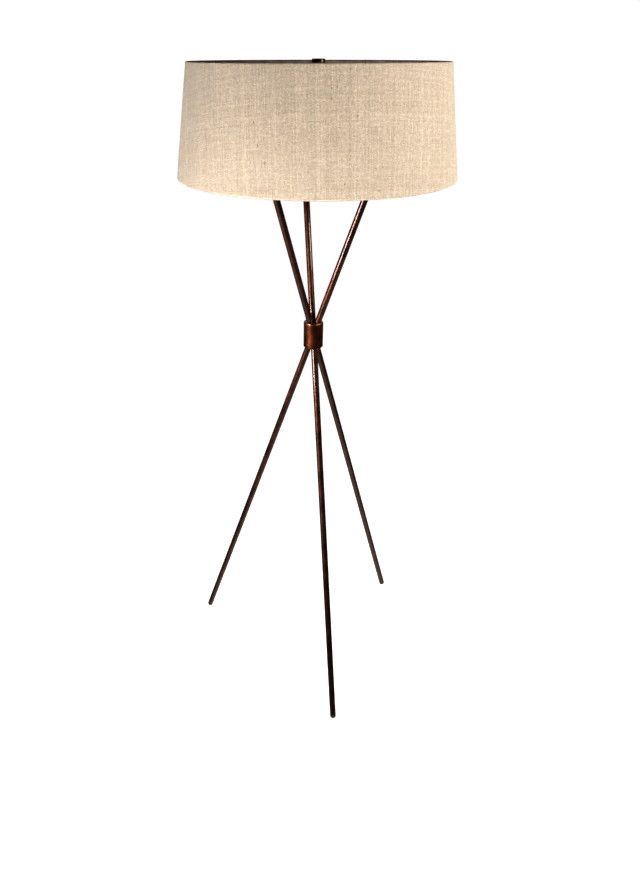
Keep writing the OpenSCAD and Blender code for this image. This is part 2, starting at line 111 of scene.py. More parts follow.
class Shader:
    """One material. Each method adds a node and returns its output socket."""

    def __init__(self, name, **constants):
        self.material = bpy.data.materials.new(name)
        self.material.use_nodes = True
        self.tree = self.material.node_tree
        self.bsdf = self.tree.nodes["Principled BSDF"]
        for key, value in constants.items():
            self.bsdf.inputs[key.replace("_", " ").title().replace("Ior", "IOR")].default_value = value

    def add(self, kind, inputs, output=0, **settings):
        return add_node(self.tree, kind, inputs, output, **settings)

    def math(self, operation, a, b=0.0, c=0.0):
        return self.add("Math", {0: a, 1: b, 2: c}, operation=operation)

    def vector(self, x=0.0, y=0.0, z=0.0):
        return self.add("CombineXYZ", {0: x, 1: y, 2: z})

    def scaled(self, parts, factors):
        """A vector of parts, each times its own factor."""
        return self.vector(*(self.math("MULTIPLY", part, by) for part, by in zip(parts, factors)))

    def split(self, vector):
        node = self.tree.nodes.new("ShaderNodeSeparateXYZ")
        feed(self.tree, node.inputs[0], vector)
        return node.outputs

    def place(self, scale=(1, 1, 1), axis=None):
        """Object coordinates in metres, times scale. With axis, Z runs along that line first."""
        place = self.add("TexCoord", {}, output=3)
        if axis is not None:
            turn = Vector(axis).rotation_difference(Vector((0, 0, 1))).to_euler()
            place = self.add("Mapping", {"Vector": place, "Rotation": turn})
        return self.add("Mapping", {"Vector": place, "Scale": scale})

    def noise(self, vector, scale=1.0, detail=2.0, roughness=0.5, distortion=0.0, dimensions="3D"):
        inputs = {"Vector": vector, "Scale": scale, "Detail": detail,
                  "Roughness": roughness, "Distortion": distortion}
        return self.add("TexNoise", inputs, noise_dimensions=dimensions)

    def cells(self, vector, output=0):
        """Flat cells: output 0 is the distance from a cell's middle, and 1 is its own colour."""
        return self.add("TexVoronoi", {"Vector": vector, "Scale": 1.0}, output, voronoi_dimensions="2D")

    def span(self, value, low, high, to_low=0.0, to_high=1.0, smooth=True):
        """Value from low..high to to_low..to_high, clamped."""
        inputs = {0: value, 1: low, 2: high, 3: to_low, 4: to_high}
        return self.add("MapRange", inputs, interpolation_type="SMOOTHSTEP" if smooth else "LINEAR")

    def mix(self, factor, a, b, blend="MIX"):
        return self.add("Mix", {0: factor, 6: a, 7: b}, output=2, data_type="RGBA", blend_type=blend)

    def darken(self, color, tone):
        """The colour times one value."""
        return self.mix(1.0, color, self.vector(tone, tone, tone), blend="MULTIPLY")

    def bump(self, height, distance, strength):
        return self.add("Bump", {"Height": height, "Distance": distance, "Strength": strength})

    def finish(self, color=None, rough=None, normal=None):
        for name, value in (("Base Color", color), ("Roughness", rough), ("Normal", normal)):
            if value is not None:
                feed(self.tree, self.bsdf.inputs[name], value)
        return self.material


def srgb(red, green, blue):
    """A colour given in 8-bit sRGB, as linear RGBA."""
    def linear(value):
        value /= 255
        return value / 12.92 if value <= 0.04045 else ((value + 0.055) / 1.055) ** 2.4
    return linear(red), linear(green), linear(blue), 1.0


def dress(material, *names):
    """Gives CAD nodes this material on all their slots."""
    for name in names:
        for slot in nodes[name].material_slots:
            slot.material = material


# ---- Woven cloth ----

WARP_PITCH = 0.0020
WEFT_PITCH = 0.0021
DARK_YARN = 0.955      # yarns whose own random value is above this are darker
FLECK = 0.994          # cells above this hold a bark fleck
SLUB = 0.975           # cells above this hold a slub
EDGE_SHADE_HEIGHT = 0.0022 # how far up from the lower edge the cloth is darkened as painted shade over the underside of the bottom roll


def thread_profile(s, across, width):
    """Rounded thread height from its centre line, 0 at its sides."""
    ratio = s.math("DIVIDE", s.math("MULTIPLY", across, 2.0), width)
    fall = s.math("SUBTRACT", 1.0, s.math("MULTIPLY", ratio, ratio))
    return s.math("SQRT", s.math("MAXIMUM", fall, 0.0))


def passing(s, along, crossed):
    """Swings between 1 and -1 from crossing to crossing. A warp is on top at 1, and a weft at -1."""
    turns = s.math("ADD", s.math("SUBTRACT", along, 0.5), crossed)
    return s.math("COSINE", s.math("MULTIPLY", turns, math.pi))


def dark_yarn(s, own, swell):
    """1 where a yarn is one of the few dark ones, along part of its length."""
    return s.math("MULTIPLY", s.math("GREATER_THAN", own, DARK_YARN), s.span(swell, 0.4, 0.55))


def woven_cloth(name):
    """Natural slub cloth in plain weave. The UV map 'cut' holds its flat pattern in metres."""
    s = Shader(name, sheen_weight=0.12, sheen_roughness=0.6, specular_ior_level=0.25)
    cut = s.add("UVMap", {}, uv_map="cut")
    drift = s.noise(cut, scale=16, detail=2, dimensions="2D")
    drift = s.math("MULTIPLY", s.math("SUBTRACT", drift, 0.5), 0.0012)
    x, y, _ = s.split(cut)
    u = s.math("DIVIDE", s.math("ADD", x, drift), WARP_PITCH)
    v = s.math("DIVIDE", s.math("SUBTRACT", y, drift), WEFT_PITCH)
    warp_index, weft_index = s.math("FLOOR", u), s.math("FLOOR", v)
    across_warp = s.math("SUBTRACT", s.math("FRACT", u), 0.5)
    across_weft = s.math("SUBTRACT", s.math("FRACT", v), 0.5)

    # Each thread has its own tone, and swells, thins and changes along its length.
    warp_swell = s.noise(s.scaled((warp_index, y), (7.31, 40)), detail=2, dimensions="2D")
    weft_swell = s.noise(s.scaled((weft_index, x), (5.77, 34)), detail=2, dimensions="2D")
    warp_width = s.span(warp_swell, 0.3, 0.75, 0.74, 1.15)
    weft_width = s.span(weft_swell, 0.3, 0.75, 0.70, 1.1)

    warp_high = s.math("MULTIPLY", thread_profile(s, across_warp, warp_width),
                       s.math("MULTIPLY_ADD", passing(s, v, warp_index), 0.4, 0.6))
    weft_high = s.math("MULTIPLY", thread_profile(s, across_weft, weft_width),
                       s.math("MULTIPLY_ADD", passing(s, u, weft_index), -0.4, 0.6))
    height = s.math("MAXIMUM", warp_high, weft_high)
    warp_on_top = s.math("GREATER_THAN", warp_high, weft_high)

    warp_own = s.add("TexWhiteNoise", {"W": warp_index}, noise_dimensions="1D")
    weft_own = s.add("TexWhiteNoise", {"W": s.math("ADD", weft_index, 0.37)}, noise_dimensions="1D")
    crossing = s.add("TexWhiteNoise", {"Vector": s.vector(warp_index, weft_index)}, noise_dimensions="2D")
    warp_tone = s.math("ADD", s.math("MULTIPLY", warp_own, 0.38), s.math("MULTIPLY", warp_swell, 0.48))
    weft_tone = s.math("ADD", s.math("MULTIPLY", weft_own, 0.30), s.math("MULTIPLY", weft_swell, 0.45))
    warp_color = s.mix(warp_tone, srgb(188, 159, 127), srgb(255, 236, 211))
    weft_color = s.mix(weft_tone, srgb(198, 171, 139), srgb(252, 234, 208))
    color = s.mix(warp_on_top, weft_color, warp_color)
    plump = s.span(crossing, 0, 1, 0.82, 1.14, smooth=False)

    # A few yarns are darker over a long stretch.
    dark = s.mix(warp_on_top, s.vector(dark_yarn(s, weft_own, weft_swell)),
                 s.vector(dark_yarn(s, warp_own, warp_swell)))
    color = s.mix(s.math("MULTIPLY", s.split(dark)[0], 0.5), color, srgb(150, 122, 92))

    # Dark bark flecks, mostly drawn out along the warp, and pale thick slubs along the weft.
    fleck_place = s.scaled((x, y), (300, 170))
    fleck_chance = s.split(s.cells(fleck_place, output=1))[0]
    fleck_size = s.span(fleck_chance, FLECK, 1.0, 0.12, 0.42)
    fleck = s.math("MULTIPLY", s.math("GREATER_THAN", fleck_chance, FLECK),
                   s.math("LESS_THAN", s.cells(fleck_place), fleck_size))
    color = s.mix(s.math("MULTIPLY", fleck, 0.7), color, srgb(128, 98, 70))
    slub_place = s.scaled((x, y), (42, 420))
    slub_chance = s.split(s.cells(slub_place, output=1))[1]
    slub = s.math("MULTIPLY", s.math("GREATER_THAN", slub_chance, SLUB),
                  s.span(s.cells(slub_place), 0.15, 0.5, 1, 0))
    color = s.mix(s.math("MULTIPLY", slub, 0.35), color, srgb(255, 240, 216))

    # Soft bands of yarn from different cones, and shade in the pits between threads.
    band = s.noise(s.scaled((x, y), (34, 7)), detail=2, dimensions="2D")
    band = s.span(band, 0.3, 0.7, 0.98, 1.02)
    pit = s.span(height, 0.05, 0.55, 0.58, 1.0)
    tone = s.math("MULTIPLY", s.math("MULTIPLY", band, pit), plump)
    color = s.darken(color, tone)

    # Painted shade: the lowest few millimetres of the cloth, over the underside of the bottom roll, are
    # darkened.
    height_up = s.split(s.place())[2]
    painted_edge_shade = s.span(height_up, SHADE_BOTTOM_Z, SHADE_BOTTOM_Z + EDGE_SHADE_HEIGHT, 0.72, 1.0)
    color = s.darken(color, painted_edge_shade)

    relief = s.math("ADD", height, s.math("MULTIPLY", slub, 0.8))
    fibre = s.noise(cut, scale=4200, detail=2, dimensions="2D")
    relief = s.math("MULTIPLY_ADD", fibre, 0.18, relief)
    rough = s.span(height, 0.0, 1.0, 0.98, 0.8)
    return s.finish(color, rough, s.bump(relief, 0.00042, 0.75))


# ---- Shade ----

AROUND = 640           # steps round the cloth
ARC_STEPS = 20         # steps of the cloth round each ring
WALL_ROWS = 92         # steps up the wall
TURN_IN = 0.009        # cloth turned in behind each ring
TURN_IN_START = 0.004  # from a ring's middle to where the cloth lies flat again
CLOTH_BEHIND = 0.0024  # from the cloth's face in to its turned-in edge
ROLL_END = 215         # angle where the cloth leaves the ring, in degrees from straight out
SEAM_LIFT = 0.0009     # how far the upper layer stands off at the back seam
SEAM_RISE = 0.006      # length over which it lifts
CUT_LIFT = 0.0002      # least distance of a cut edge from the layer below it


def profile_run(profile):
    """Distance along a profile, at each of its points."""
    run = [0.0]
    for (r0, z0), (r1, z1) in zip(profile, profile[1:]):
        run.append(run[-1] + math.hypot(r1 - r0, z1 - z0))
    return run


def profile_normals(profile):
    """The outward direction (r, z) at each point of a profile."""
    normals = []
    for k in range(len(profile)):
        (r0, z0), (r1, z1) = profile[max(k - 1, 0)], profile[min(k + 1, len(profile) - 1)]
        length = math.hypot(r1 - r0, z1 - z0)
        normals.append(((z1 - z0) / length, -(r1 - r0) / length))
    return normals


def make_piece(name, points, faces, flat_ends=0):
    """A smooth-shaded object. Its last few faces are flat if flat_ends says so."""
    mesh = bpy.data.meshes.new(name)
    mesh.from_pydata(points, [], faces)
    smooth = len(faces) - flat_ends
    mesh.polygons.foreach_set("use_smooth", [True] * smooth + [False] * flat_ends)
    piece = bpy.data.objects.new(name, mesh)
    bpy.context.scene.collection.objects.link(piece)
    return piece


def make_sheet(name, points, uvs, tall, inward=False):
    """A sheet of columns of points, each this tall. The UV map 'cut' holds its flat pattern."""
    faces = []
    for i in range(len(points) // tall - 1):
        for k in range(tall - 1):
            a = i * tall + k
            corners = (a, a + tall, a + tall + 1, a + 1)
            faces.append((a, *corners[:0:-1]) if inward else corners)
    piece = make_piece(name, points, faces)
    layer = piece.data.uv_layers.new(name="cut")
    corners = np.zeros(len(piece.data.loops), np.int32)
    piece.data.loops.foreach_get("vertex_index", corners)
    layer.data.foreach_set("uv", np.array(uvs, np.float32)[corners].ravel())
    return piece


def wall_r(z):
    return SHADE_BOTTOM_R - TAPER * (z - SHADE_BOTTOM_Z)


def roll_arc(center, reach, start, end, steps):
    """Points (r, z) round a ring's middle, from one angle to another."""
    points = []
    for k in range(steps + 1):
        angle = math.radians(start + (end - start) * k / steps)
        points.append((center[0] + reach * math.cos(angle), center[1] + reach * math.sin(angle)))
    return points


def ring_center(top):
    """(r, z) of the middle of a ring. It stands against the cloth, which goes over it with no step."""
    z = SHADE_TOP_Z - ROLL_R if top else SHADE_BOTTOM_Z + ROLL_R
    return wall_r(z) - ROLL_R / math.cos(math.atan(TAPER)), z


def shade_profile():
    """(r, z) down the section of the cover, from its lower turned-in edge, up the wall, over the top ring."""
    low, high = ring_center(False), ring_center(True)
    lean = math.atan(TAPER)
    points = []
    for k in range(4):
        z = low[1] + TURN_IN_START + TURN_IN * (1 - k / 3)
        points.append((wall_r(z) - CLOTH_BEHIND, z))
    points += roll_arc(low, ROLL_R, -ROLL_END, math.degrees(lean), ARC_STEPS)
    wall_low, wall_high = (z + ROLL_R * math.sin(lean) for z in (low[1], high[1]))
    for k in range(1, WALL_ROWS):
        z = wall_low + (wall_high - wall_low) * k / WALL_ROWS
        points.append((wall_r(z), z))
    points += roll_arc(high, ROLL_R, math.degrees(lean), ROLL_END, ARC_STEPS)
    for k in range(4):
        z = high[1] - TURN_IN_START - TURN_IN * k / 3
        points.append((wall_r(z) - CLOTH_BEHIND, z))
    return points


def cloth_ripple(turn, z):
    """Small waves all over the cloth, and finer puckers close to its two edges."""
    edge = max(min(z - SHADE_BOTTOM_Z, SHADE_TOP_Z - z), 0.0)
    around = Vector((math.cos(turn), math.sin(turn), 0)) * 0.3
    wave = 0.00030 * noise.noise(around * 22 + Vector((0, 0, z * 9)))
    pucker = 0.00028 * math.exp(-edge / 0.008) * noise.noise(around * 340 + Vector((0, 0, z * 60)))
    return wave + pucker


def cloth_freedom(r, z, centers):
    """1 on the cloth's face, falling to 0 on the inner half of each ring, where it is held."""
    center = centers[0] if z < centers[0][1] + 0.02 else centers[1]
    return min(max((r - center[0]) / ROLL_R + 0.4, 0.0), 1.0)


def build_cover():
    """The cloth as one sheet: a ring sector wrapped into a cone and lapped at the back."""
    profile = shade_profile()
    centers = (ring_center(False), ring_center(True))
    run, normals = profile_run(profile), profile_normals(profile)
    sine = TAPER / math.hypot(TAPER, 1)
    apex_run = SHADE_BOTTOM_R / sine          # slant length from the cone's tip to the bottom edge
    bottom_run = run[min(range(len(profile)), key=lambda k: profile[k][1])]
    lap = SEAM_WIDTH / 2 / SHADE_BOTTOM_R
    points, uvs = [], []
    for i in range(AROUND + 1):
        turn = -math.pi - lap + (2 * math.pi + 2 * lap) * i / AROUND
        past_lap = (turn - (math.pi - lap)) * SHADE_BOTTOM_R
        at_cut = i == AROUND
        lift = CUT_LIFT if at_cut else SEAM_LIFT * min(max((past_lap + SEAM_RISE) / SEAM_RISE, 0.0), 1.0)
        out = Vector((math.sin(turn), -math.cos(turn), 0))
        for k, (r, z) in enumerate(profile):
            shift = (cloth_ripple(turn, z) + lift) * cloth_freedom(r, z, centers)
            if at_cut:
                shift += CUT_LIFT
            nr, nz = normals[k]
            spot = out * (r + nr * shift)
            points.append((spot.x, spot.y, z + nz * shift))
            slant = apex_run - (run[k] - bottom_run)
            uvs.append((slant * math.sin(turn * sine), -slant * math.cos(turn * sine)))
    piece = make_sheet("woven_shade", points, uvs, len(profile))
    piece.data.materials.append(woven_cloth("natural_woven_cloth"))
    # The flat cut is a ring sector, in a rectangle of its chord and its depth.
    inner_run = apex_run - (run[-1] - bottom_run)
    outer_run = apex_run + bottom_run
    half_angle = (math.pi + lap) * sine
    flat = (2 * outer_run * math.sin(half_angle), outer_run - inner_run * math.cos(half_angle))
    area = half_angle * (outer_run ** 2 - inner_run ** 2)
    return piece, flat, area


cover, cover_flat, cover_area = build_cover()
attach(cover, "shade")
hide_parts("shade_cover", "shade_top_edge", "shade_bottom_edge", "shade_seam")


# ---- Tape inside the shade's rings ----

TAPE_LIFT = 0.0005     # the tape's distance from the cloth over a ring, half of that along the wall
TAPE_DROP = 0.013      # how far the tape runs down the lining from each ring
TAPE_AROUND = 360      # steps round the tape
TAPE_LAP = 0.010
TAPE_ARC_STEPS = 14
TWILL_PITCH = 0.0009


def tape_profile(center, start, end, away):
    """(r, z) of a tape over a ring's inner half and along the lining. Away is 1 upwards, -1 downwards."""
    points = roll_arc(center, ROLL_R + TAPE_LIFT, start, end, TAPE_ARC_STEPS)
    for k in range(5):
        z = center[1] + away * (TURN_IN_START + (TAPE_DROP - TURN_IN_START) * k / 4)
        points.append((wall_r(z) - CLOTH_BEHIND - TAPE_LIFT * 2, z))
    return points


def build_tape(name, profile):
    """A woven tape glued round the inside of one ring, with its ends lapped at the back."""
    run = profile_run(profile)
    mean_r = sum(r for r, _ in profile) / len(profile)
    lap = TAPE_LAP / mean_r
    points, uvs = [], []
    for i in range(TAPE_AROUND + 1):
        turn = -math.pi - lap / 2 + (2 * math.pi + lap) * i / TAPE_AROUND
        lift = CUT_LIFT if (turn - math.pi) > -lap / 2 else 0.0
        for k, (r, z) in enumerate(profile):
            ripple = 0.00012 * noise.noise(Vector((math.cos(turn) * 60, math.sin(turn) * 60, z * 90)))
            out = r - ripple - lift
            points.append((math.sin(turn) * out, -math.cos(turn) * out, z))
            uvs.append((turn * mean_r, run[k]))
    piece = make_sheet(name, points, uvs, len(profile), inward=True)
    return piece, (2 * math.pi * mean_r + TAPE_LAP, run[-1])


def twill_tape_painted_shade(name):
    """Cotton twill in dark olive-brown, a painted shade for the shadowed inside of each rim: slanting ribs
    and a few raised fibres.
    """
    s = Shader(name, sheen_weight=0.08, sheen_roughness=0.6, specular_ior_level=0.2)
    cut = s.add("UVMap", {}, uv_map="cut")
    x, y, _ = s.split(cut)
    rib = s.math("SINE", s.math("MULTIPLY", s.math("ADD", x, y), 2 * math.pi / TWILL_PITCH))
    fibre = s.noise(cut, scale=2600, detail=3, dimensions="2D")
    cloud = s.noise(cut, scale=45, detail=3, dimensions="2D")
    color = s.mix(s.span(cloud, 0.3, 0.7), srgb(106, 93, 75), srgb(134, 119, 99))
    color = s.mix(s.span(rib, -1, 0.4, 0.4, 0), color, srgb(60, 51, 41))
    color = s.mix(s.span(fibre, 0.6, 0.8, 0, 0.5), color, srgb(140, 126, 106))
    return s.finish(color, s.span(rib, -1, 1, 0.96, 0.84), s.bump(s.math("ADD", rib, fibre), 0.0001, 0.6))


# The tape's dark colour is painted shade for the dim inside of the rims.
tape_painted_shade_material = twill_tape_painted_shade("twill_tape_painted_shade")
for tape_name, center, start, end, away in (("shade_tape_top", ring_center(True), 84, ROLL_END, -1),
                                            ("shade_tape_bottom", ring_center(False), -96, -ROLL_END, 1)):
    tape, tape_flat = build_tape(tape_name, tape_profile(center, start, end, away))
    tape.data.materials.append(tape_painted_shade_material)
    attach(tape, "shade")


# ---- Harp ----

def bar_faces(rings, sides):
    """Faces of a closed bar made of rings of points, with its two end caps last."""
    faces = []
    for k in range(rings - 1):
        for j in range(sides):
            a, b = k * sides + j, k * sides + (j + 1) % sides
            faces.append((a, b, b + sides, a + sides))
    faces.append(tuple(range(sides))[::-1])
    faces.append(tuple((rings - 1) * sides + j for j in range(sides)))
    return faces


def sweep_wire(name, path, radius, sides=20):
    """A closed round wire along a path in the XZ plane."""
    points = []
    for k, spot in enumerate(path):
        ahead = (path[min(k + 1, len(path) - 1)] - path[max(k - 1, 0)]).normalized()
        side = ahead.cross(Vector((0, 1, 0)))
        for j in range(sides):
            angle = 2 * math.pi * j / sides
            points.append(spot + side * radius * math.cos(angle) + Vector((0, radius * math.sin(angle), 0)))
    return make_piece(name, points, bar_faces(len(path), sides), flat_ends=2)


def build_harp():
    """The bent wire bow: upright ends, leaning sides and a round crown."""
    low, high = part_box("harp_wire")
    wire = high.y
    ear = (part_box("harp_ferrule_right")[0].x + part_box("harp_ferrule_right")[1].x) / 2
    lean, bend, side, start = math.radians(15), 0.040, 0.060, 1.402
    side_x = ear + bend * (1 - math.cos(lean)) + side * math.sin(lean)
    side_z = start + bend * math.sin(lean) + side * math.cos(lean)
    flat_half = 0.006
    crown = (side_x - flat_half) / math.cos(lean)
    half = [Vector((ear, 0, low.z + (start - low.z) * k / 4)) for k in range(5)]
    for k in range(1, 7):
        angle = math.pi - lean * k / 6
        half.append(Vector((ear + bend + bend * math.cos(angle), 0, start + bend * math.sin(angle))))
    for k in range(49):
        angle = -lean + (math.pi / 2 + lean) * k / 48
        half.append(Vector((flat_half + crown * math.cos(angle), 0,
                            side_z + crown * math.sin(lean) + crown * math.sin(angle))))
    path = half + [Vector((-p.x, 0, p.z)) for p in reversed(half)]
    return sweep_wire("harp_bow", path, wire)


harp = build_harp()
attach(harp, "stand")
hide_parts("harp_wire")


# ---- Bulb cap ----

def build_bulb_cap():
    """The bulb's rolled screw cap, with a true helical thread that fades out at both ends."""
    low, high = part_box("bulb_base")
    crest, root = high.x, high.x - 0.0009
    thread_low, thread_high, pitch = low.z + 0.0022, high.z - 0.0035, 0.00363
    sides, rows = 72, 96
    points = []
    for k in range(rows + 1):
        z = low.z + (high.z - low.z) * k / rows
        for j in range(sides):
            angle = 2 * math.pi * j / sides
            turn = (z - low.z) / pitch - j / sides
            wave = 0.5 + 0.5 * math.cos(2 * math.pi * turn)
            inside = min(max((z - thread_low) / 0.002, 0), 1) * min(max((thread_high - z) / 0.002, 0), 1)
            neck = min(max((low.z + 0.0026 - z) / 0.0026, 0), 1)
            plain = crest - 0.0004 - 0.0065 * neck ** 1.6
            r = plain * (1 - inside) + (root + (crest - root) * wave ** 0.8) * inside
            points.append((r * math.cos(angle), r * math.sin(angle), z))
    return make_piece("bulb_screw_cap", points, bar_faces(rows + 1, sides), flat_ends=2)


bulb_cap = build_bulb_cap()
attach(bulb_cap, "stand")
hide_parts("bulb_base")


# ---- Metals ----

def line_of(node):
    """Direction of a straight rod, from the middle of one end of its mesh to the other."""
    spots = np.array([v.co for v in nodes[node].data.vertices])
    spots -= spots.mean(0)
    return Vector(np.linalg.svd(spots, full_matrices=False)[2][0])


def aged_bronze(name, axis=(0, 0, 1)):
    """Dark oil-rubbed bronze on drawn tube: brown patina, faint drawing lines, worn warm patches."""
    s = Shader(name, metallic=1.0, coat_weight=0.42, coat_roughness=0.08, coat_ior=1.5)
    patina = s.noise(s.place((1, 1, 1), axis), scale=26, detail=5, roughness=0.62)
    worn = s.noise(s.place((60, 60, 9), axis), detail=4, roughness=0.6)
    drawn = s.noise(s.place((2600, 2600, 16), axis), detail=2)
    specks = s.noise(s.place(), scale=900, detail=1)
    color = s.mix(s.span(patina, 0.32, 0.7), srgb(50, 26, 16), srgb(86, 46, 30))
    color = s.mix(s.span(worn, 0.56, 0.78, 0, 0.3), color, srgb(112, 68, 44))
    color = s.mix(s.span(specks, 0.66, 0.74, 0, 0.35), color, srgb(24, 15, 12))
    rough = s.math("ADD", s.span(patina, 0.3, 0.7, 0.36, 0.46), s.span(drawn, 0.3, 0.7, -0.03, 0.05))
    relief = s.math("MULTIPLY_ADD", drawn, 0.5, patina)
    return s.finish(color, rough, s.bump(relief, 0.00006, 0.35))


def lathe_rings(s, drift, fineness):
    """The distance from the lamp's axis, the height, and the fine rings that a lathe leaves round it."""
    x, y, z = s.split(s.place())
    radius = s.math("SQRT", s.math("ADD", s.math("MULTIPLY", x, x), s.math("MULTIPLY", y, y)))
    rings = s.noise(s.scaled((x, y, s.math("ADD", z, radius)), (drift, drift, fineness)), detail=3)
    return radius, z, rings


def turned_bronze(name, node):
    """Warm antique bronze turned on a lathe: fine rings, dark patina, edges rubbed to copper."""
    low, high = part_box(node)
    s = Shader(name, metallic=1.0, coat_weight=0.05, coat_roughness=0.2, coat_ior=1.5)
    radius, z, rings = lathe_rings(s, 9, 2400)
    patina = s.noise(s.place(), scale=55, detail=5, roughness=0.6)
    color = s.mix(s.span(patina, 0.3, 0.72), srgb(88, 41, 22), srgb(130, 65, 35))
    color = s.mix(s.span(rings, 0.35, 0.65, 0, 0.35), color, srgb(84, 42, 26))
    top = s.span(z, high.z - 0.0034, high.z - 0.0012)
    side = s.span(radius, high.x - 0.0042, high.x - 0.0016)
    foot = s.span(z, low.z + 0.0032, low.z + 0.0010)
    edge = s.math("MULTIPLY", s.math("MAXIMUM", top, foot), side)
    rub = s.math("MULTIPLY", edge, s.span(s.noise(s.place(), scale=260, detail=3), 0.35, 0.6))
    color = s.mix(s.math("MULTIPLY", rub, 0.8), color, srgb(214, 140, 100))
    rough = s.math("ADD", s.span(patina, 0.3, 0.7, 0.30, 0.42), s.span(rings, 0.3, 0.7, -0.04, 0.05))
    return s.finish(color, rough, s.bump(rings, 0.00005, 0.5))


def cast_bronze(name):
    """Fittings in the head: the rods' finish over a finely cast skin."""
    s = Shader(name, metallic=1.0, coat_weight=0.3, coat_roughness=0.18, coat_ior=1.5)
    skin = s.noise(s.place(), scale=1300, detail=3)
    patina = s.noise(s.place(), scale=70, detail=4, roughness=0.6)
    color = s.mix(s.span(patina, 0.3, 0.7), srgb(58, 34, 24), srgb(122, 72, 48))
    rough = s.span(skin, 0.3, 0.7, 0.30, 0.46)
    return s.finish(color, rough, s.bump(skin, 0.00007, 0.6))


def finial_bronze(name):
    """Nearly black bronze, lathe turned, rubbed warm on its rim."""
    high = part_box("finial")[1]
    s = Shader(name, metallic=1.0, coat_weight=0.4, coat_roughness=0.1, coat_ior=1.5)
    radius, z, rings = lathe_rings(s, 12, 2600)
    patina = s.noise(s.place(), scale=120, detail=4)
    color = s.mix(s.span(patina, 0.3, 0.7), srgb(34, 22, 14), srgb(64, 42, 27))
    rim = s.math("MULTIPLY", s.span(z, high.z - 0.0028, high.z - 0.0004),
                 s.span(radius, high.x - 0.0030, high.x - 0.0008))
    color = s.mix(s.math("MULTIPLY", rim, 0.5), color, srgb(160, 108, 70))
    rough = s.math("ADD", s.span(patina, 0.3, 0.7, 0.22, 0.32), s.span(rings, 0.3, 0.7, -0.03, 0.05))
    return s.finish(color, rough, s.bump(rings, 0.00004, 0.5))


def plated_metal(name, dull, bright, roughness, grain=1500):
    """Drawn and plated sheet or bar: slight tarnish clouds and a fine grain."""
    s = Shader(name, metallic=1.0)
    cloud = s.noise(s.place(), scale=140, detail=4, roughness=0.6)
    fine = s.noise(s.place((1, 1, 3)), scale=grain, detail=2)
    color = s.mix(s.span(cloud, 0.3, 0.72), dull, bright)
    rough = s.math("ADD", s.span(cloud, 0.3, 0.7, roughness + 0.08, roughness - 0.04),
                   s.span(fine, 0.3, 0.7, -0.02, 0.05))
    return s.finish(color, rough, s.bump(fine, 0.00003, 0.5))


# ---- Plastics, paper, rubber and glass ----

LINING_PITCH = 0.0011  # threads of the lining's cotton


def moulded(name, base, light, roughness, grain=1800, depth=0.00006):
    """A moulded part with a fine eroded grain and slight colour clouding."""
    s = Shader(name, specular_ior_level=0.45)
    skin = s.noise(s.place(), scale=grain, detail=3)
    cloud = s.noise(s.place(), scale=90, detail=3)
    color = s.mix(s.span(cloud, 0.3, 0.7), base, light)
    rough = s.span(skin, 0.3, 0.7, roughness - 0.08, roughness + 0.1)
    return s.finish(color, rough, s.bump(skin, depth, 0.6))


def pressed_paper(name):
    """The socket's insulating tube: grey-black fibre board with pale fibres."""
    s = Shader(name, specular_ior_level=0.2)
    fibres = s.noise(s.place((900, 900, 240)), detail=3, distortion=1.5)
    color = s.mix(s.span(fibres, 0.5, 0.72), srgb(46, 42, 38), srgb(110, 100, 88))
    return s.finish(color, s.span(fibres, 0.3, 0.7, 0.92, 0.78), s.bump(fibres, 0.00008, 0.6))


def lining_board_painted_shade(name):
    """The shade's stiff lining: cotton pressed on board, with faint upright creases. Its dark brown is partly
    its own colour and partly painted shade for the dim inside of the shade.
    """
    s = Shader(name, specular_ior_level=0.25)
    x, y, z = s.split(s.place())
    turn = s.math("ARCTAN2", y, x)
    run = s.math("MULTIPLY", turn, SHADE_BOTTOM_R)
    warp = s.math("SINE", s.math("MULTIPLY", run, 2 * math.pi / LINING_PITCH))
    weft = s.math("SINE", s.math("MULTIPLY", z, 2 * math.pi / LINING_PITCH))
    mesh = s.math("MULTIPLY", warp, weft)
    cloud = s.noise(s.scaled((x, y, z), (30, 30, 12)), detail=4)
    thread = s.noise(s.scaled((x, y, z), (700, 700, 60)), detail=2)
    # Painted shade in part: the lining's browns are kept dark for the dim inside of the shade.
    color = s.mix(s.span(cloud, 0.3, 0.7), srgb(92, 80, 65), srgb(118, 104, 86))
    color = s.mix(s.span(thread, 0.45, 0.75, 0, 0.4), color, srgb(74, 63, 50))
    rough = s.span(mesh, -1, 1, 0.92, 0.8)
    return s.finish(color, rough, s.bump(s.math("ADD", mesh, thread), 0.00008, 0.5))


def frosted_glass(name):
    """A soft-white bulb: opal skin under clear gloss, slightly warmer towards its neck."""
    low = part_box("bulb_glass")[0]
    s = Shader(name, coat_weight=0.8, coat_roughness=0.06, coat_ior=1.5, subsurface_weight=0.25)
    _, _, z = s.split(s.place())
    cloud = s.noise(s.place(), scale=60, detail=3)
    color = s.mix(s.span(z, low.z, low.z + 0.03), srgb(214, 208, 194), srgb(246, 244, 236))
    color = s.mix(s.span(cloud, 0.35, 0.75, 0, 0.25), color, srgb(226, 222, 210))
    return s.finish(color, s.span(cloud, 0.3, 0.7, 0.22, 0.34), s.bump(cloud, 0.00010, 0.3))


